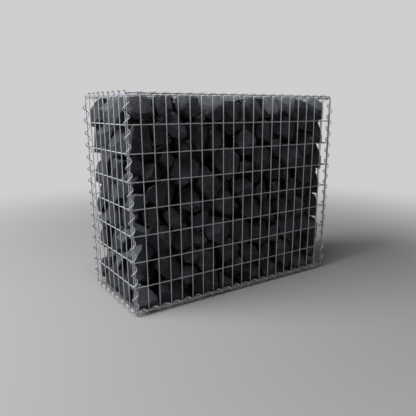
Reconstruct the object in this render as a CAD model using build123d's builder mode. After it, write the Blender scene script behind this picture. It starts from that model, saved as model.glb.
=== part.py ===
from build123d import *
from math import cos, floor, hypot, pi, radians, sin, sqrt
import os

# A gabion wall: a basket of welded wire mesh, filled with hand-packed stone and laced shut
# along its twelve edges with spiral binders. All lengths are in millimetres.
# X runs along the wall, the front faces -Y, and Z = 0 is the ground under the basket.

# Mesh: upright wires on the walls every CELL_WIDTH, level wires every CELL_HEIGHT
CELL_WIDTH = 50.0
CELL_HEIGHT = 100.0
FRONT_CELLS = 20
END_CELLS = 8
ROWS = 8                # of cells up the walls
WIRE = 4.0

# Corners: how the end panels and the lid nest against the front and back panels
END_STEP = 3.2          # end panels' uprights stand this far outside the front's edge uprights
CORNER_GAP = 1.2        # from an end panel's edge wire to the front panel's level wires
SEAT = 0.3              # running gap between a spiral and the wires that it binds

# Spirals: one turn to each upright wire, drawn as straight chords
SPIRAL_CHORDS = 6
END_GAP = 2.0           # between the ends of two spirals that meet at a corner
HALFWAY = 45.0          # degrees, between two mats that meet square

# Where each spiral crosses its corner, measured along the edge from the last wire
MID_CELL = CELL_WIDTH / 2
FRONT_LEFT_PHASE = 37.0
FRONT_RIGHT_PHASE = 19.0
BACK_LEFT_PHASE = 34.0
TOP_FRONT_PHASE = 31.0
BOTTOM_FRONT_PHASE = 27.0

# Fill: stone laid in lifts, one to each row of cells
STONE_GAP = 1.0         # between the stone and the wires round it
TOP_GAP = 1.5           # between the top lift and the lid

# Two corners where the end stones stand back unevenly: mean sizes, and each lift's share of
# them with the lowest lift first
OPEN_CORNER_X = 32.0
OPEN_CORNER_Y = 28.0
OPEN_SHARES = (1.1, 0.8, 1.3, 1.3, 0.9, 0.8, 0.8, 1.1)
SET_BACK_CORNER_X = 16.0
SET_BACK_CORNER_Y = 32.0
SET_BACK_SHARES = (1.0, 1.3, 0.9, 0.8, 1.1, 0.9, 0.9, 0.8)

# A square bar with the same area as the round wire, so that its weight is the same
BAR = WIRE * sqrt(pi) / 2
BAR_REACH = BAR / sqrt(2)

FRONT_LENGTH = FRONT_CELLS * CELL_WIDTH
END_LENGTH = END_CELLS * CELL_WIDTH
HEIGHT = ROWS * CELL_HEIGHT

# Distances between the two edge wires that share a spiral
FRONT_STEP = 2 * BAR + CORNER_GAP
LID_STEP = BAR + SEAT
UPRIGHT_PAIR = hypot(END_STEP, FRONT_STEP)
LONG_EDGE_PAIR = hypot(FRONT_STEP - BAR, LID_STEP + BAR)
WIDEST_PAIR = max(UPRIGHT_PAIR, LONG_EDGE_PAIR)

# The spiral's chords clear the widest pair of wires by SEAT
CHORD_RADIUS = WIDEST_PAIR / 2 + 2 * BAR_REACH + SEAT
KNEE_RADIUS = CHORD_RADIUS / cos(pi / SPIRAL_CHORDS)
SPIRAL_REACH = KNEE_RADIUS + BAR_REACH

# Planes and axes that the panels and spirals share
END_AXIS_RISE = WIDEST_PAIR / 2
BOTTOM = SPIRAL_REACH + END_AXIS_RISE
TOP = BOTTOM + HEIGHT
MIDDLE = (BOTTOM + TOP) / 2
FRONT_Y = END_LENGTH / 2 + FRONT_STEP
END_X = FRONT_LENGTH / 2 + END_STEP
CORNER_X = (FRONT_LENGTH / 2 + END_X) / 2
CORNER_Y = (END_LENGTH / 2 + FRONT_Y) / 2
LONG_AXIS_Y = (END_LENGTH / 2 + FRONT_Y - BAR) / 2
LONG_AXIS_RISE = (LID_STEP + BAR) / 2
END_AXIS_X = (FRONT_LENGTH / 2 + END_X - BAR) / 2

os.makedirs("parts", exist_ok=True)


def finish(builder, label):
    """Label a finished piece and write it under its own name."""
    builder.part.label = label
    export_step(builder.part, f"parts/{label}.step")


def welded_mat(label, plane, cells_across, cells_along, cell_along):
    """Weld a mat: line wires along the plane's y on its z side, cross wires on the other side."""
    across = cells_across * CELL_WIDTH
    along = cells_along * cell_along
    with BuildPart() as mat:
        with BuildSketch(plane):
            with GridLocations(CELL_WIDTH, 0, cells_across + 1, 1):
                Rectangle(BAR, along + BAR)
        extrude(amount=BAR)
        with BuildSketch(plane):
            with GridLocations(0, cell_along, 1, cells_along + 1):
                Rectangle(across + BAR, BAR)
        extrude(amount=-BAR)
    finish(mat, label)


def spiral_binder(label, axis, run, length, pitch, phase):
    """Wind a right-handed spiral round the axis plane's z.

    Its x and y point into the two mats that it binds. The wires of the edge stand every
    pitch along run, and the spiral crosses halfway between x and y at phase past each of them.
    """
    rise = pitch / SPIRAL_CHORDS
    turn = 360 / SPIRAL_CHORDS
    first = phase % rise - run / 2
    skipped = floor((run - length) / 2 / rise)
    chords = floor(length / rise) - 1
    knees = []
    for knee in range(skipped + 1, skipped + chords + 2):
        along = first + knee * rise
        angle = HALFWAY + (along + run / 2 - phase) / rise * turn
        spot = (KNEE_RADIUS * cos(radians(angle)), KNEE_RADIUS * sin(radians(angle)), along)
        knees.append(axis.from_local_coords(spot))
    with BuildPart() as spiral:
        with BuildLine():
            wire = Polyline(*knees)
        with BuildSketch(Plane(origin=wire @ 0, z_dir=wire % 0)):
            Rectangle(BAR, BAR)
        sweep(path=wire, transition=Transition.RIGHT)
    finish(spiral, label)


# Wall panels: uprights outside, level wires inside
FRONT_WELD = FRONT_Y - BAR / 2
END_WELD = END_X - BAR / 2
front = Plane(origin=(0, -FRONT_WELD, MIDDLE), x_dir=(1, 0, 0), z_dir=(0, -1, 0))
back = Plane(origin=(0, FRONT_WELD, MIDDLE), x_dir=(-1, 0, 0), z_dir=(0, 1, 0))
left = Plane(origin=(-END_WELD, 0, MIDDLE), x_dir=(0, -1, 0), z_dir=(-1, 0, 0))
right = Plane(origin=(END_WELD, 0, MIDDLE), x_dir=(0, 1, 0), z_dir=(1, 0, 0))
welded_mat("front_panel", front, FRONT_CELLS, ROWS, CELL_HEIGHT)
welded_mat("back_panel", back, FRONT_CELLS, ROWS, CELL_HEIGHT)
welded_mat("left_end_panel", left, END_CELLS, ROWS, CELL_HEIGHT)
welded_mat("right_end_panel", right, END_CELLS, ROWS, CELL_HEIGHT)

# Base and lid: the close-set wires run across, on the inside, and carry the long wires
LEVEL_WELD = LID_STEP + BAR / 2
BASE_CELLS = floor(END_LENGTH / CELL_HEIGHT)
BASE_CELL = END_LENGTH / BASE_CELLS
base = Plane(origin=(0, 0, BOTTOM - LEVEL_WELD), x_dir=(1, 0, 0), z_dir=(0, 0, 1))
lid = Plane(origin=(0, 0, TOP + LEVEL_WELD), x_dir=(1, 0, 0), z_dir=(0, 0, -1))
welded_mat("base_panel", base, FRONT_CELLS, BASE_CELLS, BASE_CELL)
welded_mat("lid_panel", lid, FRONT_CELLS, BASE_CELLS, BASE_CELL)

# Upright spirals at the four corners, between the level spirals above and below
UPRIGHT_PITCH = CELL_HEIGHT / 2
UPRIGHT_LENGTH = HEIGHT - 2 * SPIRAL_REACH
for label, side_x, side_y, into_x, phase in (
    ("front_left_spiral", -1, -1, (1, 0, 0), FRONT_LEFT_PHASE),
    ("front_right_spiral", 1, -1, (0, 1, 0), FRONT_RIGHT_PHASE),
    ("back_left_spiral", -1, 1, (0, -1, 0), BACK_LEFT_PHASE),
    ("back_right_spiral", 1, 1, (-1, 0, 0), MID_CELL),
):
    corner = (side_x * CORNER_X, side_y * CORNER_Y, MIDDLE)
    axis = Plane(origin=corner, x_dir=into_x, z_dir=(0, 0, 1))
    spiral_binder(label, axis, HEIGHT, UPRIGHT_LENGTH, UPRIGHT_PITCH, phase)

# Long spirals along the front and back edges of the lid and base
LONG_LENGTH = FRONT_LENGTH - 2 * (SPIRAL_REACH + END_GAP)
for label, side_y, level, into_x, phase in (
    ("top_front_spiral", -1, TOP + LONG_AXIS_RISE, (0, 0, -1), TOP_FRONT_PHASE),
    ("top_back_spiral", 1, TOP + LONG_AXIS_RISE, (0, -1, 0), MID_CELL),
    ("bottom_front_spiral", -1, BOTTOM - LONG_AXIS_RISE, (0, 1, 0), BOTTOM_FRONT_PHASE),
    ("bottom_back_spiral", 1, BOTTOM - LONG_AXIS_RISE, (0, 0, 1), MID_CELL),
):
    axis = Plane(origin=(0, side_y * LONG_AXIS_Y, level), x_dir=into_x, z_dir=(1, 0, 0))
    spiral_binder(label, axis, FRONT_LENGTH, LONG_LENGTH, CELL_WIDTH, phase)

# Short spirals along the end edges of the lid and base
SHORT_LENGTH = 2 * CORNER_Y
for label, side_x, level, into_x in (
    ("top_left_spiral", -1, TOP + END_AXIS_RISE, (1, 0, 0)),
    ("top_right_spiral", 1, TOP + END_AXIS_RISE, (0, 0, -1)),
    ("bottom_left_spiral", -1, BOTTOM - END_AXIS_RISE, (0, 0, 1)),
    ("bottom_right_spiral", 1, BOTTOM - END_AXIS_RISE, (-1, 0, 0)),
):
    axis = Plane(origin=(side_x * END_AXIS_X, 0, level), x_dir=into_x, z_dir=(0, 1, 0))
    spiral_binder(label, axis, END_LENGTH, SHORT_LENGTH, CELL_WIDTH, MID_CELL)

# Stone fill: lifts that rest on the base wires and on each other, nicked along every edge of
# the basket to clear the spirals
FILL_X = END_X - 3 * BAR / 2 - STONE_GAP
FILL_Y = FRONT_Y - 3 * BAR / 2 - STONE_GAP
FILL_BOTTOM = BOTTOM - LID_STEP + BAR / 2
FILL_TOP = TOP + LID_STEP - BAR / 2 - TOP_GAP
LIFTS = len(OPEN_SHARES)
LIFT = (FILL_TOP - FILL_BOTTOM) / LIFTS
SPIRAL_NICK = (SPIRAL_REACH + STONE_GAP) * sqrt(2)
CORNER_NICK = SPIRAL_NICK - (CORNER_X - FILL_X) - (CORNER_Y - FILL_Y)
BOTTOM_NICK = SPIRAL_NICK - (LONG_AXIS_Y - FILL_Y) - (FILL_BOTTOM - BOTTOM + LONG_AXIS_RISE)
TOP_NICK = SPIRAL_NICK - (LONG_AXIS_Y - FILL_Y) - (TOP + LONG_AXIS_RISE - FILL_TOP)
for number, (open_share, set_back_share) in enumerate(zip(OPEN_SHARES, SET_BACK_SHARES)):
    with BuildPart() as course:
        with BuildSketch(Plane.XY.offset(FILL_BOTTOM + number * LIFT)):
            with BuildLine():
                Polyline(
                    (-FILL_X + CORNER_NICK, -FILL_Y),
                    (FILL_X - open_share * OPEN_CORNER_X, -FILL_Y),
                    (FILL_X, -FILL_Y + open_share * OPEN_CORNER_Y),
                    (FILL_X, FILL_Y - CORNER_NICK),
                    (FILL_X - CORNER_NICK, FILL_Y),
                    (-FILL_X + set_back_share * SET_BACK_CORNER_X, FILL_Y),
                    (-FILL_X, FILL_Y - set_back_share * SET_BACK_CORNER_Y),
                    (-FILL_X, -FILL_Y + CORNER_NICK),
                    close=True,
                )
            make_face()
        extrude(amount=LIFT)
        if number == 0:
            chamfer(course.faces().sort_by(Axis.Z)[0].edges(), BOTTOM_NICK)
        if number == LIFTS - 1:
            chamfer(course.faces().sort_by(Axis.Z)[-1].edges(), TOP_NICK)
    finish(course, f"stone_course_{number + 1}")
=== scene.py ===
# %% [markdown]
# # Dressing a gabion wall
# A gabion is a basket of welded wire mesh. It is laced shut along its edges with spiral wires and
# packed by hand with broken stone. The frame holds the basket as square bars and the fill as eight
# flat lifts. Here the bars become round galvanised wires with their welds. The lifts become several
# hundred stones, each one cut to fit between its neighbours.

import bpy
import numpy as np
from mathutils import Matrix, Vector


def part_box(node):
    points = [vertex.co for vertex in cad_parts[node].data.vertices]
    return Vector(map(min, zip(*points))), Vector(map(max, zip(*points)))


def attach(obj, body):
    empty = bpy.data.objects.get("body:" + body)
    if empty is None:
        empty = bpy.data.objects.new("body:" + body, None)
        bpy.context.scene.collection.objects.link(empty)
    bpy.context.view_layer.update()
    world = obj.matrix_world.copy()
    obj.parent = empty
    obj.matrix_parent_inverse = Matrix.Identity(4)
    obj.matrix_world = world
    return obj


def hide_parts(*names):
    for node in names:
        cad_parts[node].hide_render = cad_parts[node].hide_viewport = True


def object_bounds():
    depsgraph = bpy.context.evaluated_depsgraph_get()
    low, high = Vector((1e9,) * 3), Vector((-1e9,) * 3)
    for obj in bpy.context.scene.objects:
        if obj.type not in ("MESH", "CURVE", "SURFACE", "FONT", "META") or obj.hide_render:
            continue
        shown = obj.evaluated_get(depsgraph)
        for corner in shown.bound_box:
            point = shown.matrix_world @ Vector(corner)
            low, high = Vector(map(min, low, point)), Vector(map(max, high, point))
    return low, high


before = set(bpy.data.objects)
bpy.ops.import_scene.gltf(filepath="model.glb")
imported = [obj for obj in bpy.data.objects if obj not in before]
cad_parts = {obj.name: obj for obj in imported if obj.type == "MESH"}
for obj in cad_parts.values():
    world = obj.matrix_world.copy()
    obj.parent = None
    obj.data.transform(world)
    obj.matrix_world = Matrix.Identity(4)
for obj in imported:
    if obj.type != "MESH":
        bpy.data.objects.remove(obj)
cad_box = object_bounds()
print("nodes in the frame:", len(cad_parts))

# %% [markdown]
# ## Shapes as arrays
# Everything on this object is either a wire or a stone, and there are hundreds of each. Modelling
# them by hand is slow and adding them one by one with operators is too. So a shape here is a pair:
# an array of points and a list of face arrays. Whole families of shapes are worked out at once
# with numpy and become one mesh in a single step.

# %% Turn shapes into pieces
def joined(shapes):
    """Put several shapes into one: each one's face numbers move on by the points before it."""
    points, faces, offset = [], [], 0
    for shape_points, shape_faces in shapes:
        points.append(shape_points)
        faces += [group + offset for group in shape_faces]
        offset += len(shape_points)
    return np.concatenate(points), faces


def add_piece(name, shape, material, slot, *nodes):
    """Make one smooth mesh object of a shape, dressed over the frame nodes that it stands for."""
    points, faces = shape
    mesh = bpy.data.meshes.new(name)
    mesh.from_pydata(points.tolist(), [], [face for group in faces for face in group.tolist()])
    mesh.shade_smooth()
    mesh.materials.append(material)
    piece = bpy.data.objects.new(name, mesh)
    bpy.context.scene.collection.objects.link(piece)
    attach(piece, "root")
    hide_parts(*nodes)
    return piece


def triangles(piece):
    """Count the triangles of a piece: a face of n corners makes n less two."""
    return len(piece.data.loops) - 2 * len(piece.data.polygons)

# %% [markdown]
# ## Effects that several finishes share
# Zinc and stone are both mottled, and both gather pale dust on the sides that face the sky. Such
# an effect can be drawn again in each material, but a node group keeps it in one place. A group
# here gives out masks only, and each material decides what colour its mask stands for.

# %% Put nodes into a tree
def put(tree, kind, inputs=None, **settings):
    """Add a node. Settings are its own properties, and inputs are values, or sockets to link."""
    made = tree.nodes.new(kind)
    for key, value in settings.items():
        setattr(made, key, value)
    for key, value in (inputs or {}).items():
        if isinstance(value, bpy.types.NodeSocket):
            tree.links.new(value, made.inputs[key])
        else:
            made.inputs[key].default_value = value
    return made


def new_group(name, inputs, outputs):
    """Start a node group with named number inputs and outputs, and give back its two ends."""
    group = bpy.data.node_groups.new(name, "ShaderNodeTree")
    for label, value in inputs.items():
        socket = group.interface.new_socket(label, in_out="INPUT", socket_type="NodeSocketFloat")
        socket.default_value = value
    for label in outputs:
        group.interface.new_socket(label, in_out="OUTPUT", socket_type="NodeSocketFloat")
    return group, put(group, "NodeGroupInput"), put(group, "NodeGroupOutput")


def place_group(tree, group, inputs):
    """Place a node group in a material, with its own values."""
    made = put(tree, "ShaderNodeGroup", node_tree=group)
    for key, value in inputs.items():
        made.inputs[key].default_value = value
    return made

# %% Mottling: broad patches and a fine grain
mottling, ends_in, ends_out = new_group(
    "Mottling", {"Patches": 20, "Grain": 200}, ("Patches", "Grain"),
)
place = put(mottling, "ShaderNodeTexCoord")
patches = put(mottling, "ShaderNodeTexNoise", {
    "Vector": place.outputs["Object"], "Scale": ends_in.outputs["Patches"], "Detail": 3.0,
})
grain = put(mottling, "ShaderNodeTexNoise", {
    "Vector": place.outputs["Object"], "Scale": ends_in.outputs["Grain"],
    "Detail": 4.0, "Roughness": 0.65,
})
mottling.links.new(patches.outputs["Fac"], ends_out.inputs["Patches"])
mottling.links.new(grain.outputs["Fac"], ends_out.inputs["Grain"])
print("group made:", mottling.name)

# %% Settled dust: a broken film on the sides that face up
dust, ends_in, ends_out = new_group("Settled dust", {"Amount": 0.5, "Speck": 90}, ("Mask",))
place = put(dust, "ShaderNodeTexCoord")
facing = put(dust, "ShaderNodeSeparateXYZ", {"Vector": place.outputs["Normal"]})
upward = put(dust, "ShaderNodeMapRange", {
    "Value": facing.outputs["Z"], "From Min": 0.25, "From Max": 0.95,
}, interpolation_type="SMOOTHSTEP")
specks = put(dust, "ShaderNodeTexNoise", {
    "Vector": place.outputs["Object"], "Scale": ends_in.outputs["Speck"],
    "Detail": 5.0, "Roughness": 0.7,
})
broken = put(dust, "ShaderNodeMapRange", {
    "Value": specks.outputs["Fac"], "From Min": 0.35, "From Max": 0.65,
})
lying = put(dust, "ShaderNodeMath", {
    0: upward.outputs["Result"], 1: broken.outputs["Result"],
}, operation="MULTIPLY")
mask = put(dust, "ShaderNodeMath", {
    0: lying.outputs["Value"], 1: ends_in.outputs["Amount"],
}, operation="MULTIPLY")
dust.links.new(mask.outputs["Value"], ends_out.inputs["Mask"])
print("group made:", dust.name)

# %% [markdown]
# ## Galvanised wire
# The mats are hot-dip galvanised, and the spirals are drawn from brighter wire. Fresh zinc shines,
# and after a season outside it is a soft bluish grey with faint frosting. The simplest finish would
# be plain metal, but that mirrors the sky and goes black where there is none. Metallic is low here,
# because the weathered film over the zinc scatters light as chalk does.

# %% The two wire finishes
ZINC_DUST = (0.5, 0.505, 0.51, 1)
ZINC_SHINE = 0.2                    # specular level of the weathered film
SHEEN = (-0.1, 0.15)                # how far the grain moves the roughness, least and most


def galvanised(name, bright, dull, metallic, roughness):
    """Mix a bright and a dull zinc by the mottling, with dust on top and a faint drawn texture."""
    material = bpy.data.materials.new(name)
    material.use_nodes = True
    tree = material.node_tree
    shader = tree.nodes["Principled BSDF"]
    spots = place_group(tree, mottling, {"Patches": 35, "Grain": 900})
    film = place_group(tree, dust, {"Amount": 0.15, "Speck": 250})
    frosting = put(tree, "ShaderNodeMix", {
        "Factor": spots.outputs["Patches"], "A": (*bright, 1), "B": (*dull, 1),
    }, data_type="RGBA")
    dusted = put(tree, "ShaderNodeMix", {
        "Factor": film.outputs["Mask"], "A": frosting.outputs["Result"], "B": ZINC_DUST,
    }, data_type="RGBA")
    sheen = put(tree, "ShaderNodeMapRange", {
        "Value": spots.outputs["Grain"],
        "To Min": roughness + SHEEN[0], "To Max": roughness + SHEEN[1],
    })
    relief = put(tree, "ShaderNodeBump", {
        "Height": spots.outputs["Grain"], "Strength": 0.15, "Distance": 0.0002,
    })
    tree.links.new(dusted.outputs["Result"], shader.inputs["Base Color"])
    tree.links.new(sheen.outputs["Result"], shader.inputs["Roughness"])
    tree.links.new(relief.outputs["Normal"], shader.inputs["Normal"])
    shader.inputs["Metallic"].default_value = metallic
    shader.inputs["Specular IOR Level"].default_value = ZINC_SHINE
    return material


mat_zinc = galvanised(
    "Mat zinc", bright=(0.38, 0.394, 0.418), dull=(0.29, 0.3, 0.319), metallic=0.12, roughness=0.6,
)
spiral_zinc = galvanised(
    "Spiral zinc", bright=(0.41, 0.422, 0.44), dull=(0.32, 0.33, 0.345), metallic=0.2, roughness=0.5,
)
print("wire finishes:", mat_zinc.name, "and", spiral_zinc.name)

# %% [markdown]
# ## Broken basalt
# Basalt breaks into smooth dark faces with sharp edges, which bruise to a lighter grey when the
# stones are tipped and packed. Two attributes carry what the shape knows: each stone has a tone
# of its own, which is zero on the hidden stones as painted shade for the depth of the joints, and
# each point knows how near it is to an edge. The colours are laid over each other in the order in
# which the stone met them: dark rock, then the bruised edge, then dust.

# %% The stone finish
ROCK_DARK = (0.010, 0.011, 0.013, 1)
ROCK_LIGHT = (0.047, 0.050, 0.057, 1)
BRUISE = (0.11, 0.115, 0.127, 1)
STONE_DUST = (0.26, 0.27, 0.29, 1)
TONE_SHARE = 0.55                   # how much of a stone's shade is its own tone, not patches

basalt = bpy.data.materials.new("Basalt")
basalt.use_nodes = True
tree = basalt.node_tree
shader = tree.nodes["Principled BSDF"]
spots = place_group(tree, mottling, {"Patches": 14, "Grain": 160})
film = place_group(tree, dust, {"Amount": 0.6, "Speck": 170})
# the tone attribute is each shown stone's own tone, and painted joint shade (zero) on hidden stones
tone_and_joint_shade = put(tree, "ShaderNodeAttribute", attribute_name="tone_and_joint_shade")
edge = put(tree, "ShaderNodeAttribute", attribute_name="edge")
shade = put(tree, "ShaderNodeMix", {
    "Factor": TONE_SHARE, "A": spots.outputs["Patches"], "B": tone_and_joint_shade.outputs["Fac"],
})
rock = put(tree, "ShaderNodeMix", {
    "Factor": shade.outputs["Result"], "A": ROCK_DARK, "B": ROCK_LIGHT,
}, data_type="RGBA")
bruised = put(tree, "ShaderNodeMath", {
    0: edge.outputs["Fac"], 1: spots.outputs["Grain"],
}, operation="MULTIPLY")
worn = put(tree, "ShaderNodeMix", {
    "Factor": bruised.outputs["Value"], "A": rock.outputs["Result"], "B": BRUISE,
}, data_type="RGBA")
dusted = put(tree, "ShaderNodeMix", {
    "Factor": film.outputs["Mask"], "A": worn.outputs["Result"], "B": STONE_DUST,
}, data_type="RGBA")
pitted = put(tree, "ShaderNodeBump", {
    "Height": spots.outputs["Grain"], "Strength": 1.0, "Distance": 0.005,
})
tree.links.new(dusted.outputs["Result"], shader.inputs["Base Color"])
tree.links.new(pitted.outputs["Normal"], shader.inputs["Normal"])
shader.inputs["Roughness"].default_value = 0.6
shader.inputs["Specular IOR Level"].default_value = 0.12
print("stone finish:", basalt.name)

# %% [markdown]
# ## Round wires
# A wire is a circle carried along a path. Blender's curves with a round bevel make one too, but
# then each wire's ends, sides and seams are out of our hands. Here all the wires of a mat are
# worked out in one go, because numpy treats a mat as one array: wires, points along each wire,
# and points round each circle.

# %% Carry a circle along many paths
WIRE = 0.004
SIDES = 8                           # of a wire's circle
NIB = 0.3                           # how far a cut end is rounded over, as a share of the radius


def tubes(paths, side, radius=WIRE / 2):
    """Round tubes along paths, an array of wires by points by three.

    A ring's point is path + radius * (cos(angle) * across + sin(angle) * up). Across is the
    given side made square to the path, and up is the path's direction crossed with across.
    Each end has one smaller ring past it, closed by a flat face.
    """
    forward = np.gradient(paths, axis=1)
    forward /= np.linalg.norm(forward, axis=2, keepdims=True)
    across = side - (side * forward).sum(axis=2, keepdims=True) * forward
    across /= np.linalg.norm(across, axis=2, keepdims=True)
    up = np.cross(forward, across)
    nib = NIB * radius * forward
    paths = np.concatenate([paths[:, :1] - nib[:, :1], paths, paths[:, -1:] + nib[:, -1:]], axis=1)
    across, up = (np.pad(way, ((0, 0), (1, 1), (0, 0)), mode="edge") for way in (across, up))
    girth = np.full(paths.shape[1], radius)
    girth[[0, -1]] *= 1 - NIB
    angle = np.arange(SIDES) * 2 * np.pi / SIDES
    circle = np.cos(angle)[:, None] * across[:, :, None] + np.sin(angle)[:, None] * up[:, :, None]
    rings = paths[:, :, None] + girth[:, None, None] * circle
    number = np.arange(rings[..., 0].size).reshape(rings.shape[:3])
    beside = np.roll(number, -1, axis=2)
    walls = np.stack([number[:, :-1], beside[:, :-1], beside[:, 1:], number[:, 1:]], axis=-1)
    return rings.reshape(-1, 3), [walls.reshape(-1, 4), number[:, 0, ::-1], number[:, -1]]

# %% [markdown]
# ## A ball of squares
# Welds and stones both start from a ball. A ball of latitudes and longitudes crowds its points
# at two poles, so this one is a cube blown round: each side of the cube is a square grid of two
# parameters, and no point is much closer to its neighbours than any other.

# %% Blow a cube round
def cube_ball(cells):
    """Directions over a ball, with its quads, from a cube whose sides have cells by cells squares.

    On each side, a point is (1, tan(s), tan(t)) made one long, for s and t from -45 to 45
    degrees. The other five sides turn the same grid, and shared edge points are merged.
    """
    step = np.linspace(-np.pi / 4, np.pi / 4, cells + 1)
    s, t = (np.tan(grid) for grid in np.meshgrid(step, step, indexing="ij"))
    one = np.ones_like(s)
    sides = [np.stack(side, axis=-1) for side in (
        (one, s, t), (-one, t, s), (t, one, s), (s, -one, t), (s, t, one), (t, s, -one),
    )]
    cloud = np.concatenate([side.reshape(-1, 3) for side in sides])
    points, number = np.unique(cloud.round(9), axis=0, return_inverse=True)
    number = number.reshape(6, cells + 1, cells + 1)
    quads = np.stack([
        number[:, :-1, :-1], number[:, 1:, :-1], number[:, 1:, 1:], number[:, :-1, 1:],
    ], axis=-1)
    return points / np.linalg.norm(points, axis=1, keepdims=True), quads.reshape(-1, 4)


ball, ball_quads = cube_ball(2)
first, second, _, last = ball[ball_quads.T]
outward = (np.cross(second - first, last - first) * first).sum(axis=1) > 0
print("squares that face out:", int(outward.sum()), "of", len(ball_quads))

# %% [markdown]
# ## Welded mats
# A mat is welded by a machine that presses the crossing wires into each other, so their centres
# are a little less than one wire apart and a bead of squeezed steel stands round each crossing.
# The fill pushes the mats out by a millimetre or two in the middle, and no wire lies dead true.
# One smooth bulge, read by both sets of wires, keeps them touching at every weld.

# %% Weld the six mats
BAR = WIRE * np.sqrt(np.pi) / 2     # the frame's square bar, of the same area as the round wire
BULGE = 0.0012                      # how far the fill pushes out a mat's middle
RIPPLE = 0.0006                     # how uneven that is
WANDER = 0.0005                     # how far a wire lies from its true line
WELD = (0.0026, 0.0026, 0.0015)     # half sizes of a weld bead, across, along and out
NEST = 0.0002                       # how far the lid and the base keep off the end mats' wires

rng = np.random.default_rng(11)
basket_middle = np.mean(cad_box, axis=0)


def bulge(a, b, waves):
    """Height of a mat over its flat plane at a and b, both from -1/2 to 1/2 across the mat.

    (1 - 4 a a)(1 - 4 b b) holds the edges flat. It scales BULGE and three slow sine waves.
    """
    swell = sum(np.sin(2 * np.pi * (wave[0] * a + wave[1] * b + wave[2])) for wave in waves)
    return (1 - 4 * a * a) * (1 - 4 * b * b) * (BULGE + RIPPLE * swell / len(waves))


def wander(count):
    """Sideways error of each wire of a row. The two edge wires stay true in their spirals."""
    error = rng.normal(0, WANDER, count)
    error[[0, -1]] = 0
    return error


def welded_mat(name, node, across, out, cells_across, cells_along):
    """Round wires and weld beads over a mat of the frame. Line wires lie on its out side.

    The fill pushes a mat away from the basket's middle. The lid and the base have their line
    wires inside, so for them that is against out.
    """
    low, high = (np.array(corner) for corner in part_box(node))
    centre = (low + high) / 2
    across, out = np.array(across, float), np.array(out, float)
    along = np.cross(out, across)
    push = np.sign((centre - basket_middle) @ out)
    keep_off = NEST if push < 0 else 0
    width = abs((high - low) @ across) - BAR
    length = abs((high - low) @ along) - BAR
    waves = rng.uniform(-1.5, 1.5, (3, 3))
    a, b = np.linspace(-0.5, 0.5, cells_across + 1), np.linspace(-0.5, 0.5, cells_along + 1)
    off_a, off_b = wander(len(a)), wander(len(b))

    def spot(at_a, shift_a, at_b, shift_b, lift):
        height = push * (bulge(at_a, at_b, waves) + keep_off) + lift
        return (centre + (at_a * width + shift_a)[..., None] * across
                + (at_b * length + shift_b)[..., None] * along + height[..., None] * out)

    def row(fixed, shift, count, lift, flip):
        run = np.linspace(-0.5, 0.5, count)
        overhang = np.where(np.abs(run) == 0.5, np.sign(run) * BAR / 2, 0)
        fixed, run = np.meshgrid(fixed, run, indexing="ij")
        shift, overhang = np.broadcast_arrays(shift[:, None], overhang)
        if flip:
            return spot(run, overhang, fixed, shift, lift)
        return spot(fixed, shift, run, overhang, lift)

    lines = tubes(row(a, off_a, 2 * cells_along + 1, BAR / 2, False), out)
    crosses = tubes(row(b, off_b, cells_across + 1, -BAR / 2, True), out)
    at_a, at_b = (grid.ravel() for grid in np.meshgrid(a, b, indexing="ij"))
    shift_a, shift_b = (grid.ravel() for grid in np.meshgrid(off_a, off_b, indexing="ij"))
    crossings = spot(at_a, shift_a, at_b, shift_b, 0)
    bead = ball @ (np.stack([across, along, out]) * np.array(WELD)[:, None])
    beads = (crossings[:, None] + bead).reshape(-1, 3)
    bead_quads = ball_quads + len(ball) * np.arange(len(crossings))[:, None, None]
    shape = joined([lines, crosses, (beads, [bead_quads.reshape(-1, 4)])])
    piece = add_piece(name, shape, mat_zinc, "mesh_wire", node)
    print(name, "crossings:", len(crossings), "triangles:", triangles(piece))


FRONT_CELLS, END_CELLS, CELLS_HIGH, LEVEL_CELLS = 20, 8, 8, 4
welded_mat("front_mat", "front_panel", (1, 0, 0), (0, -1, 0), FRONT_CELLS, CELLS_HIGH)
welded_mat("back_mat", "back_panel", (-1, 0, 0), (0, 1, 0), FRONT_CELLS, CELLS_HIGH)
welded_mat("left_end_mat", "left_end_panel", (0, -1, 0), (-1, 0, 0), END_CELLS, CELLS_HIGH)
welded_mat("right_end_mat", "right_end_panel", (0, 1, 0), (1, 0, 0), END_CELLS, CELLS_HIGH)
welded_mat("base_mat", "base_panel", (1, 0, 0), (0, 0, 1), FRONT_CELLS, LEVEL_CELLS)
welded_mat("lid_mat", "lid_panel", (1, 0, 0), (0, 0, -1), FRONT_CELLS, LEVEL_CELLS)

# %% [markdown]
# ## Spiral binders
# A spiral is screwed along the edge of two mats, and its turns pass round both edge wires. It is
# a helix, so its path needs no drawing: the angle grows with the way along the axis. The frame
# gives the axis as the middle of each plain spiral's box. What the photograph adds is the phase,
# which says where a turn crosses the corner, and it differs from edge to edge.

# %% Wind the twelve spirals
PITCH = 0.05
MEAN_RADIUS = 0.01045
TURN_POINTS = 18                    # points along one turn
MID_CELL = PITCH / 2
TURN_WAVE = (0.08, 0.05)            # how far turns lead and lag, in radians, and over what way
GIRTH_WAVE = (0.015, 0.03)          # how much their radius varies, as a share, and over what way


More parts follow.
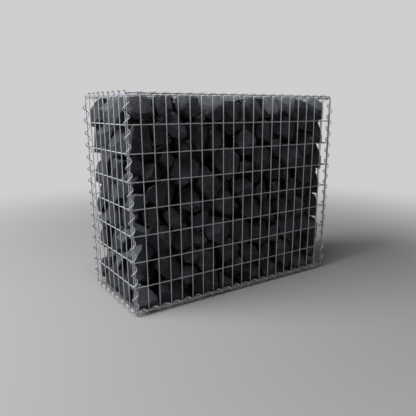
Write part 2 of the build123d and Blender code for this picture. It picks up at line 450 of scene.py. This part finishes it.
def spiral(name, into, along, phase):
    """A helix of round wire over a plain spiral of the frame, right-handed.

    angle = 45 degrees + a turn for each pitch past the phase. A point is axis + radius *
    (cos(angle) * into + sin(angle) * over) + way * along, where over is along crossed with
    into. Slow waves in the angle and the radius keep the turns from looking machined.
    """
    low, high = (np.array(corner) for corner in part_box(name))
    into, along = np.array(into, float), np.array(along, float)
    over = np.cross(along, into)
    length = (high - low) @ along - WIRE
    way = np.linspace(-length / 2, length / 2, int(length / PITCH * TURN_POINTS))[:, None]
    start_angle, start_radius = rng.uniform(0, 2 * np.pi, 2)
    angle = np.pi / 4 + 2 * np.pi * (way - phase) / PITCH
    angle += TURN_WAVE[0] * np.sin(way / TURN_WAVE[1] + start_angle)
    radius = MEAN_RADIUS * (1 + GIRTH_WAVE[0] * np.sin(way / GIRTH_WAVE[1] + start_radius))
    outwards = np.cos(angle) * into + np.sin(angle) * over
    path = (low + high) / 2 + radius * outwards + way * along
    shape = tubes(path[None], outwards[None])
    piece = add_piece(name.replace("spiral", "binder"), shape, spiral_zinc, "spiral_wire", name)
    print(piece.name, "turns:", round(length / PITCH, 1), "triangles:", triangles(piece))


for name, into, phase in (
    ("front_left_spiral", (1, 0, 0), 0.037),
    ("front_right_spiral", (0, 1, 0), 0.019),
    ("back_left_spiral", (0, -1, 0), 0.034),
    ("back_right_spiral", (-1, 0, 0), MID_CELL),
):
    spiral(name, into, (0, 0, 1), phase)
for name, into, phase in (
    ("top_front_spiral", (0, 0, -1), 0.031),
    ("top_back_spiral", (0, -1, 0), MID_CELL),
    ("bottom_front_spiral", (0, 1, 0), 0.027),
    ("bottom_back_spiral", (0, 0, 1), MID_CELL),
):
    spiral(name, into, (1, 0, 0), phase)
for name, into, phase in (
    ("top_left_spiral", (1, 0, 0), MID_CELL),
    ("top_right_spiral", (0, 0, -1), MID_CELL),
    ("bottom_left_spiral", (0, 0, 1), MID_CELL),
    ("bottom_right_spiral", (-1, 0, 0), MID_CELL),
):
    spiral(name, into, (0, 1, 0), phase)

# %% [markdown]
# ## The space for the stone
# The basket is a box, but the fill is not: the spirals reach a little way in along every edge.
# At two corners the real fill stops short, by more in one lift than in the next, so that daylight
# shows through the mesh. All of these are flat limits, and a flat limit is a direction and how far
# the fill may go that way. Kept as two arrays, they serve twice: to hold the stones in, and later
# to cut their faces.

# %% Collect the limits of the fill
SPIRAL_ROOM = 0.0012                # air between a stone and a spiral
OPEN_CORNER = (0.032, 0.028)        # stone missing at the front right corner, along and through
OPEN_SHARES = (1.1, 0.8, 1.3, 1.3, 0.9, 0.8, 0.8, 1.1)      # of that, for each lift from the lowest
SET_BACK_CORNER = (0.016, 0.032)    # and at the back left corner
SET_BACK_SHARES = (1.0, 1.3, 0.9, 0.8, 1.1, 0.9, 0.9, 0.8)
LIFTS = len(OPEN_SHARES)


def unit(ways):
    """Make each direction one long."""
    return ways / np.linalg.norm(ways, axis=-1, keepdims=True)


fill_low = np.array(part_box("stone_course_1")[0])
fill_high = np.array(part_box(f"stone_course_{LIFTS}")[1])
fill_middle = (fill_low + fill_high) / 2
walls = np.concatenate([np.eye(3), -np.eye(3)])
wall_limits = np.concatenate([fill_high, -fill_low])


def corner_cut(side_x, side_y, size):
    """The limit that joins a point size[0] along from a corner and one size[1] through from it."""
    way = unit(np.array([side_x * size[1], side_y * size[0], 0]))
    on_face = np.array([side_x * (fill_high[0] - size[0]), side_y * fill_high[1], 0])
    return way, way @ on_face


def edge_cut(node):
    """The limit that clears a spiral, square to the line from its axis to the fill's middle."""
    low, high = (np.array(corner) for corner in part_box(node))
    way = np.sign(((low + high) / 2 - fill_middle).round(3))
    way[np.argmax(high - low)] = 0
    way = unit(way)
    return way, way @ (low + high) / 2 - MEAN_RADIUS - WIRE / 2 - SPIRAL_ROOM


corners = [corner_cut(1, -1, OPEN_CORNER), corner_cut(-1, 1, SET_BACK_CORNER)]
edges = [edge_cut(node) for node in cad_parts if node.endswith("spiral")]
limit_ways = np.concatenate([walls, [way for way, _ in corners + edges]])
limits = np.concatenate([wall_limits, [limit for _, limit in corners + edges]])
FACES = len(walls) + len(corners)   # the first limits are the faces that stones lie against
TOP = 2                             # and of these, this is the one that looks up
print("limits of the fill:", len(limits))

# %% [markdown]
# ## Packing the stones
# Hand-packed stones touch their neighbours and stand flat against the mesh. They could be dropped
# into the basket as rigid bodies, but they would settle loosely, with round holes between them.
# Instead the middles of the stones push each other apart, large ones harder than small ones, until
# they fill the space.

# %% Spread the middles of the stones
STONES = 430
SMALLEST, LARGEST = 0.031, 0.064    # half sizes of the stones
PACKED = 1.05                       # how close two stones come, as a share of their half sizes
AGAINST = 0.7                       # how close a stone's middle comes to a face, likewise
ROUNDS = 200
PUSH = 0.3                          # share of an overlap that one round takes away

rng = np.random.default_rng(5)
half = rng.uniform(SMALLEST, LARGEST, STONES)
middles = rng.uniform(fill_low + LARGEST, fill_high - LARGEST, (STONES, 3))
itself = np.eye(STONES)
for _ in range(ROUNDS):
    apart = middles[:, None] - middles[None]
    distance = np.linalg.norm(apart, axis=2) + itself
    overlap = np.clip(PACKED * (half[:, None] + half[None]) - distance, 0, None) * (1 - itself)
    middles += PUSH * (apart / distance[..., None] * overlap[..., None]).sum(axis=1)
    for way, limit in zip(limit_ways[:FACES], limits[:FACES]):
        middles -= np.clip(middles @ way + AGAINST * half - limit, 0, None)[:, None] * way
print("stones:", STONES, "mean size in mm:", round(2000 * half.mean()))
print("largest overlap left in mm:", round(1000 * overlap.max(), 1))

# %% [markdown]
# ## Cutting each stone
# A broken stone is a block with flat faces, so it can be described by the planes that bound it:
# one halfway to each neighbour, one at each limit of the fill, and some of its own where it
# split. Along a direction, the stone reaches to the nearest plane. Taking the nearest exactly
# gives knife edges. A high power mean of all the planes gives nearly the same distance in the
# middle of a face and a little less at an edge, which rounds it as real ones are. Joints stay open
# between stones that show. At the corners that let daylight in, they would let it through the whole
# fill, so there the stones touch, and so do the hidden ones behind.

# %% Collect the planes of every stone
JOINT = (0.0025, 0.008)             # half the gap round a stone, least and most
TOP_JOINT = 0.0025                  # added to it in the top row
NEIGHBOURS = 18
SPLITS = 8
SPLIT_DEPTH = (0.62, 1.05)          # how far out a stone split, as a share of its half size
NEAR = 1.25                         # a face this many half sizes from a stone's middle is its own
UNCUT = 0.35                        # a split with over this cosine to the open side is left out
AROUND_CORNER = 3.0                 # stones within this many half sizes of a corner cut are tight
TIGHT = -0.0014                     # half their gap: they overlap by the depth of their hollows
TIGHT_SPLIT = 1.4                   # and they split this many times as far out
INNER = -0.007                      # half the gap of stones that don't show

apart = middles[None] - middles[:, None]
distance = np.linalg.norm(apart, axis=2) + itself
between = (distance ** 2 + half[:, None] ** 2 - half[None] ** 2) / (2 * distance)
between[itself == 1] = np.inf       # no stone is its own neighbour
nearest = np.argsort(between, axis=1)[:, :NEIGHBOURS]
joint_ways = np.take_along_axis(apart / distance[..., None], nearest[..., None], axis=1)
room = limits - middles @ limit_ways.T
near = room[:, :FACES] < NEAR * half[:, None]
shown = near.any(axis=1)
top_row = near[:, TOP]
cornered = (room[:, len(walls):FACES] < AROUND_CORNER * half[:, None]).any(axis=1)
joint = rng.uniform(*JOINT, STONES) + TOP_JOINT * top_row
joint[cornered] = TIGHT
joint[~shown] = INNER
joint_reach = np.take_along_axis(between, nearest, axis=1) - joint[:, None]

open_side = near.astype(float) @ limit_ways[:FACES]
open_side /= np.maximum(np.linalg.norm(open_side, axis=1, keepdims=True), 1)
split_ways = unit(rng.normal(size=(STONES, SPLITS, 3)))
split_reach = half[:, None] * rng.uniform(*SPLIT_DEPTH, (STONES, SPLITS))
outer_split = (split_ways * open_side[:, None]).sum(axis=2) > UNCUT
split_reach = np.where(outer_split, 2 * half[:, None], split_reach)
split_reach *= np.where(cornered, TIGHT_SPLIT, 1)[:, None]
print("stones against a face:", int(shown.sum()), "of", STONES)

# %% [markdown]
# ## Faces that lean
# A packer turns each stone's flattest face to the mesh, but no face stands quite upright, and
# most break off at one side. Those that lean back at the top catch the sky, and this is what
# makes the separate stones readable through the wire. A bumpy texture could lean the shading alone,
# but then the outline would stay flat. So in front of each face of the fill, every stone gets three
# planes of its own. Each is tilted about a line some way off the stone's middle, and more of them
# lean back than forward, above all in the top row.

# %% Lean the outer faces
LEANS = 3
LEAN = (0.05, 0.95)                 # tangent of the angle
LEAN_UP = 1.1                       # pull towards leaning back
TOP_LEAN_UP = 2.2                   # the same in the top row
TOP_STEEPER = 1.5                   # how many times as steep the top row leans
FLAT_LEAN = 0.25                    # share of the tangent kept at the top and the bottom
CORNER_LEAN = 0.6                   # the same at the corner cuts
EDGE_LEAN = 0.3                     # the same in leaning towards another face that shows
TOWARDS = 0.15                      # cosine from which a tilt counts as towards that other face
LEAN_DEPTH = (0.74, 1.0)            # how far forward a stone stands, as a share of its room
FULL_DEPTH = 0.99                   # the same at the top, the bottom and the corner cuts
LEAN_SHIFT = 0.35                   # how far off the middle a plane tilts, in half sizes

face_ways = limit_ways[:FACES]
pull = np.where(top_row, TOP_LEAN_UP, LEAN_UP)[:, None, None] * [0, 0, 1]
tilt = unit(rng.normal(size=(STONES, FACES, LEANS, 3)) + pull[:, None])
tilt -= (tilt * face_ways[:, None]).sum(axis=-1, keepdims=True) * face_ways[:, None]
tilt = unit(tilt)
flat = np.abs(face_ways[:, 2]) == 1
less = np.where(flat, FLAT_LEAN, 1)
less[len(walls):] = CORNER_LEAN
edgeward = open_side * np.where(open_side > 0, [1, 1, 0], 1)
meets = (tilt * edgeward[:, None, None]).sum(axis=-1) > TOWARDS
steepness = rng.uniform(*LEAN, (STONES, FACES, LEANS)) * less[:, None]
steepness *= np.where(meets, EDGE_LEAN, 1) * np.where(top_row, TOP_STEEPER, 1)[:, None, None]
lean_ways = unit(face_ways[:, None] + steepness[..., None] * tilt)
depth = np.where(less[:, None] < 1, FULL_DEPTH, rng.uniform(*LEAN_DEPTH, (STONES, FACES, 1)))
stand = room[:, :FACES, None] * depth
shift = half[:, None, None] * rng.uniform(-LEAN_SHIFT, LEAN_SHIFT, (STONES, FACES, LEANS))
lean_reach = (stand + steepness * shift) / np.sqrt(1 + steepness ** 2)
print("steepest face in degrees:", round(np.degrees(np.arctan(steepness.max()))))

# %% [markdown]
# ## Ragged corners
# Where the fill stops short it doesn't end in a plane, because each lift was laid by eye and each
# stone is a little longer or shorter than the next. A flat cut would give that away at once in the
# outline. So every stone's own limit moves by its lift's share of the corner, and by chance.

# %% Keep each stone back by its own amount
RAGGED_CORNER = (-0.003, 0.006)     # how far stones keep back from a corner cut
RAGGED_EDGE = (0.0, 0.006)          # how far they keep back from a spiral
CORE = 0.008                        # no plane comes nearer to a stone's middle than this

raggedness = np.zeros_like(room)
raggedness[:, len(walls):FACES] = rng.uniform(*RAGGED_CORNER, (STONES, FACES - len(walls)))
raggedness[:, FACES:] = rng.uniform(*RAGGED_EDGE, (STONES, len(limits) - FACES))
lift_tops = np.linspace(fill_low[2], fill_high[2], LIFTS + 1)[1:-1]
course = np.searchsorted(lift_tops, middles[:, 2])
shared_corners = ((OPEN_CORNER, OPEN_SHARES), (SET_BACK_CORNER, SET_BACK_SHARES))
for column, (size, shares) in enumerate(shared_corners, len(walls)):
    cut_depth = size[0] * size[1] / np.hypot(*size)
    raggedness[:, column] += cut_depth * (np.array(shares)[course] - 1)
limit_room = room - raggedness
every_limit = np.broadcast_to(limit_ways, (STONES, *limit_ways.shape))
every_lean = lean_ways.reshape(STONES, -1, 3)
ways = np.concatenate([joint_ways, every_limit, split_ways, every_lean], axis=1)
lean_room = lean_reach.reshape(STONES, -1)
reaches = np.concatenate([joint_reach, limit_room, split_reach, lean_room], axis=1)
reaches = np.maximum(reaches, CORE)
print("planes to a stone:", ways.shape[1])

# %% [markdown]
# ## Laying the courses
# Now every stone is a list of planes, and all the stones of a course can be worked out together.
# The stones that show get a fine grid, crowded towards the mesh, and the hidden ones a coarse one.
# They are also painted darker, as the shade deep in a joint, which is all that is seen of them.
# Shading that is smooth all over would make pebbles of them, so the creases between broken faces
# are marked sharp.

# %% Work out the surfaces and lay the courses
SHARPNESS = (60, 150)               # power of the mean: higher gives sharper edges
HOLLOWS = 7                         # waves that hollow the broken faces
HOLLOW_RATE = (120, 330)            # radians of such a wave to a metre
RELIEF = 0.0014                     # depth of the hollows
FINE, COARSE = 16, 5                # squares along a cube side, on shown and hidden stones
CROWD = 0.55                        # how far points crowd towards the face that shows
FOLD = np.radians(17)               # squares that meet at more than this are not smoothed together

sharpness = rng.uniform(*SHARPNESS, STONES)
hollow_ways = unit(rng.normal(size=(HOLLOWS, 3))) * rng.uniform(*HOLLOW_RATE, (HOLLOWS, 1))
hollow_start = rng.uniform(0, 2 * np.pi, HOLLOWS)
# painted shade: hidden stones get a tone of zero, which makes them darker, for the shade deep in the
# joints
tone_and_joint_shade = rng.uniform(0, 1, STONES) * shown


def cut_stones(chosen, cells):
    """Points, faces, tones and edge masks of the chosen stones; a hidden stone's tone is painted
    joint shade.

    For a direction u, the share of a plane is u . way / reach where that is positive, and the
    stone reaches 1 / (sum of shares ** sharpness) ** (1 / sharpness). Sine waves through space
    then take up to RELIEF off it. At an edge the largest share is only part of the sum, and the
    rest of the sum is the edge mask. The directions are those of a ball, each with CROWD of the
    open side added before it is made one long again.
    """
    rays, quads = cube_ball(cells)
    rays = unit(rays + CROWD * open_side[chosen][:, None])
    shares = np.clip(rays @ ways[chosen].transpose(0, 2, 1), 0, None) / reaches[chosen][:, None]
    power = sharpness[chosen][:, None]
    peak = shares.max(axis=2)
    total = ((shares / peak[..., None]) ** power[..., None]).sum(axis=2)
    length = 1 / (peak * total ** (1 / power))
    points = middles[chosen][:, None] + length[..., None] * rays
    hollows = np.sin(points @ hollow_ways.T + hollow_start).mean(axis=2)
    points -= (RELIEF * (0.5 + 0.5 * hollows))[..., None] * rays
    number = quads + rays.shape[1] * np.arange(len(chosen))[:, None, None]
    tones_and_joint_shade = np.repeat(tone_and_joint_shade[chosen], rays.shape[1])
    edges = np.clip(2 * (1 - 1 / total), 0, 1).ravel()
    return (points.reshape(-1, 3), [number.reshape(-1, 4)]), tones_and_joint_shade, edges


for number in range(LIFTS):
    here = course == number
    cuts = [
        cut_stones(np.flatnonzero(here & shown), FINE),
        cut_stones(np.flatnonzero(here & ~shown), COARSE),
    ]
    shape = joined([cut[0] for cut in cuts])
    piece = add_piece(f"stones_{number + 1}", shape, basalt, "basalt", f"stone_course_{number + 1}")
    piece.data.set_sharp_from_angle(angle=FOLD)
    # the tone attribute carries painted joint shade on the hidden stones
    for label, part in (("tone_and_joint_shade", 1), ("edge", 2)):
        values = np.concatenate([cut[part] for cut in cuts])
        piece.data.attributes.new(label, "FLOAT", "POINT").data.foreach_set("value", values)
    print(piece.name, "stones:", int(here.sum()), "triangles:", triangles(piece))

# %% [markdown]
# ## Floor, light and camera
# The wall stands in open shade: a wide bright sky over its left end, and a front that is turned
# away from it. An image of a sky could light it, but one large soft lamp does the same, with a weak
# one to show the front. The floor is a plain sheet that takes the shadow and fades into the pale
# backdrop away from the wall.

# %% Floor
FLOOR_HALF = 40.0
FLOOR_GREY = (0.275, 0.275, 0.27, 1)
BACKDROP = (0.62, 0.62, 0.62, 1)
FADE = (0.8, 3.0)                   # how far out the floor starts and ends to turn into backdrop

floor_mesh = bpy.data.meshes.new("floor")
floor_corners = FLOOR_HALF * np.array([(-1, -1, 0), (1, -1, 0), (1, 1, 0), (-1, 1, 0)])
floor_mesh.from_pydata(floor_corners.tolist(), [], [(0, 1, 2, 3)])
floor = bpy.data.objects.new("floor", floor_mesh)
bpy.context.scene.collection.objects.link(floor)

pale = bpy.data.materials.new("Pale floor")
pale.use_nodes = True
tree = pale.node_tree
shader = tree.nodes["Principled BSDF"]
shader.inputs["Base Color"].default_value = FLOOR_GREY
shader.inputs["Roughness"].default_value = 0.9
place = put(tree, "ShaderNodeTexCoord")
away = put(tree, "ShaderNodeVectorMath", {0: place.outputs["Object"]}, operation="LENGTH")
fade = put(tree, "ShaderNodeMapRange", {
    "Value": away.outputs["Value"], "From Min": FADE[0], "From Max": FADE[1],
}, interpolation_type="SMOOTHSTEP")
path = put(tree, "ShaderNodeLightPath")
seen = put(tree, "ShaderNodeMath", {
    0: fade.outputs["Result"], 1: path.outputs["Is Camera Ray"],
}, operation="MULTIPLY")
glow = put(tree, "ShaderNodeEmission", {"Color": BACKDROP, "Strength": 1.0})
both = put(tree, "ShaderNodeMixShader", {
    "Fac": seen.outputs["Value"], 1: shader.outputs["BSDF"], 2: glow.outputs["Emission"],
})
tree.links.new(both.outputs["Shader"], tree.nodes["Material Output"].inputs["Surface"])
floor_mesh.materials.append(pale)
print("floor laid, side in metres:", 2 * FLOOR_HALF)

# %% Sky and lamps
AMBIENT = 0.1                       # share of the backdrop's light that falls on rough surfaces
MID_WALL = (0, 0, 0.4)

world = bpy.data.worlds.new("Sky")
bpy.context.scene.world = world
world.use_nodes = True
tree = world.node_tree
path = put(tree, "ShaderNodeLightPath")
mirrored = put(tree, "ShaderNodeMath", {
    0: path.outputs["Is Camera Ray"], 1: path.outputs["Is Glossy Ray"],
}, operation="MAXIMUM")
direct = put(tree, "ShaderNodeMath", {
    0: mirrored.outputs["Value"], 1: path.outputs["Is Transmission Ray"],
}, operation="MAXIMUM")
strength = put(tree, "ShaderNodeMapRange", {
    "Value": direct.outputs["Value"], "To Min": AMBIENT, "To Max": 1.0,
})
tree.links.new(strength.outputs["Result"], tree.nodes["Background"].inputs["Strength"])
tree.nodes["Background"].inputs["Color"].default_value = BACKDROP


def looking(place, forward):
    """Where a lamp or a camera goes that looks forward from a place, with its top side up."""
    turn = Vector(forward).to_track_quat("-Z", "Y").to_matrix().to_4x4()
    return Matrix.Translation(place) @ turn


def soft_lamp(name, place, aim, size, watts):
    """A square lamp at a place, turned to face a point."""
    lamp = bpy.data.lights.new(name, "AREA")
    lamp.size = size
    lamp.energy = watts
    holder = bpy.data.objects.new(name, lamp)
    holder.matrix_world = looking(place, Vector(aim) - Vector(place))
    bpy.context.scene.collection.objects.link(holder)


soft_lamp("sky_lamp", (-3.2, 0.5, 3.0), MID_WALL, size=2.9, watts=295)
soft_lamp("front_lamp", (-0.9, -0.9, 3.8), MID_WALL, size=1.5, watts=52)
print("lamps:", [lamp.name for lamp in bpy.data.lights])

# %% Camera
CAMERA_PLACE = (-1.129, -1.668, 0.772)
CAMERA_FORWARD = (0.548, 0.796, -0.257)
LENS = 38.6
SHIFT = (-0.025, 0.047)             # of the picture over the lens, in picture widths

camera = bpy.data.cameras.new("camera")
camera.lens = LENS
camera.sensor_width = 36.0
camera.sensor_fit = "HORIZONTAL"
camera.shift_x, camera.shift_y = SHIFT
holder = bpy.data.objects.new("camera", camera)
holder.matrix_world = looking(CAMERA_PLACE, CAMERA_FORWARD)
bpy.context.scene.collection.objects.link(holder)
bpy.context.scene.camera = holder
bpy.context.scene.view_settings.view_transform = "Standard"
print("camera lens in mm:", camera.lens)

# %% Print the CAD box
print("CAD box:", cad_box)
